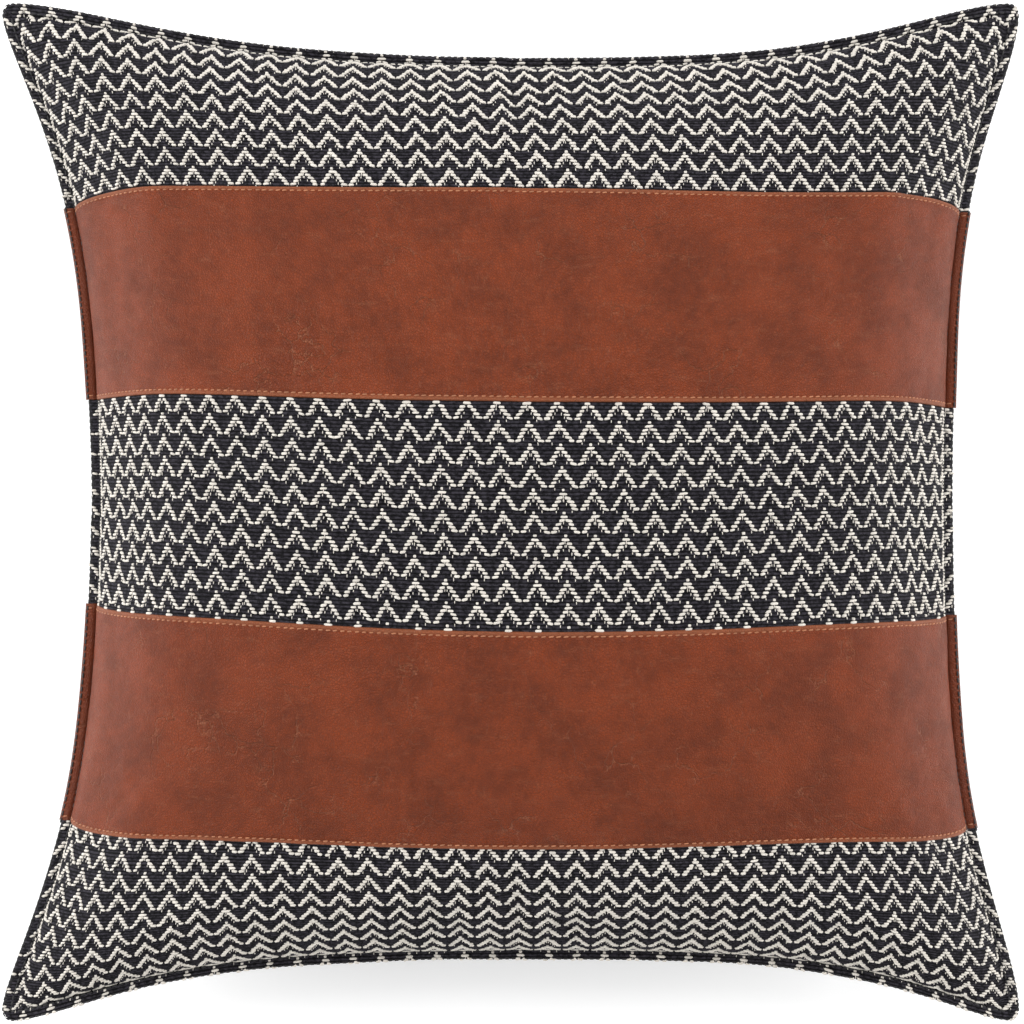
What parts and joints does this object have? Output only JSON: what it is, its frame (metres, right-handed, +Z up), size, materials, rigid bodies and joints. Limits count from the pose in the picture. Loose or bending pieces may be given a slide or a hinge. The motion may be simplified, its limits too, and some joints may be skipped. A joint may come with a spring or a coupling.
{
  "type": "throw pillow",
  "caption": "Square throw pillow: front of woven zigzag and leather bands, stitched edge flange, plain back with a zip, removable insert.",
  "frame": {"origin": "under the middle of the pillow, on the surface that it lies on", "axes": "+Z up through the pillow's thickness, front face up; +Y towards the top edge of the cover; +X towards its right"},
  "size_m": [0.502, 0.502, 0.162],
  "materials": {
    "woven": "matte",
    "leather": "satin",
    "back_cloth": "matte",
    "black_thread": "satin",
    "tan_thread": "satin",
    "zip_tape": "matte",
    "zip_coil": "gloss",
    "zip_metal": "satin",
    "ticking": "matte",
    "fill": "matte",
    "label": "satin"
  },
  "bodies": {
    "root": {"front_upper_woven_band": "woven", "front_upper_leather_band": "leather", "front_middle_woven_band": "woven", "front_lower_leather_band": "leather", "front_lower_woven_band": "woven", "upper_leather_topstitch": "tan_thread", "lower_leather_topstitch": "tan_thread", "flange_inner_topstitch": "black_thread", "flange_outer_topstitch": "black_thread", "seam_allowance": "back_cloth", "back_panel": "back_cloth", "back_zip_strip": "back_cloth", "care_label": "label", "zipper_tape_upper": "zip_tape", "zipper_tape_lower": "zip_tape", "zipper_coil_upper": "zip_coil", "zipper_coil_lower": "zip_coil", "zipper_end_stops": "zip_metal", "insert_front_ticking": "ticking", "insert_back_ticking": "ticking", "insert_fill": "fill"},
    "slider": {"zipper_slider": "zip_metal"},
    "pull_tab": {"zipper_pull_tab": "zip_metal"}
  },
  "joints": [
    {"name": "zip_slide", "type": "slide", "parent": "root", "child": "slider", "axis": [-1, 0, 0], "range_m": [0, 0.2884]},
    {"name": "pull_swing", "type": "hinge", "parent": "slider", "child": "pull_tab", "pos_m": [0.1442, -0.18865, 0.01961], "axis": [0, -0.788, 0.6157], "range_deg": [-90, 90]}
  ]
}
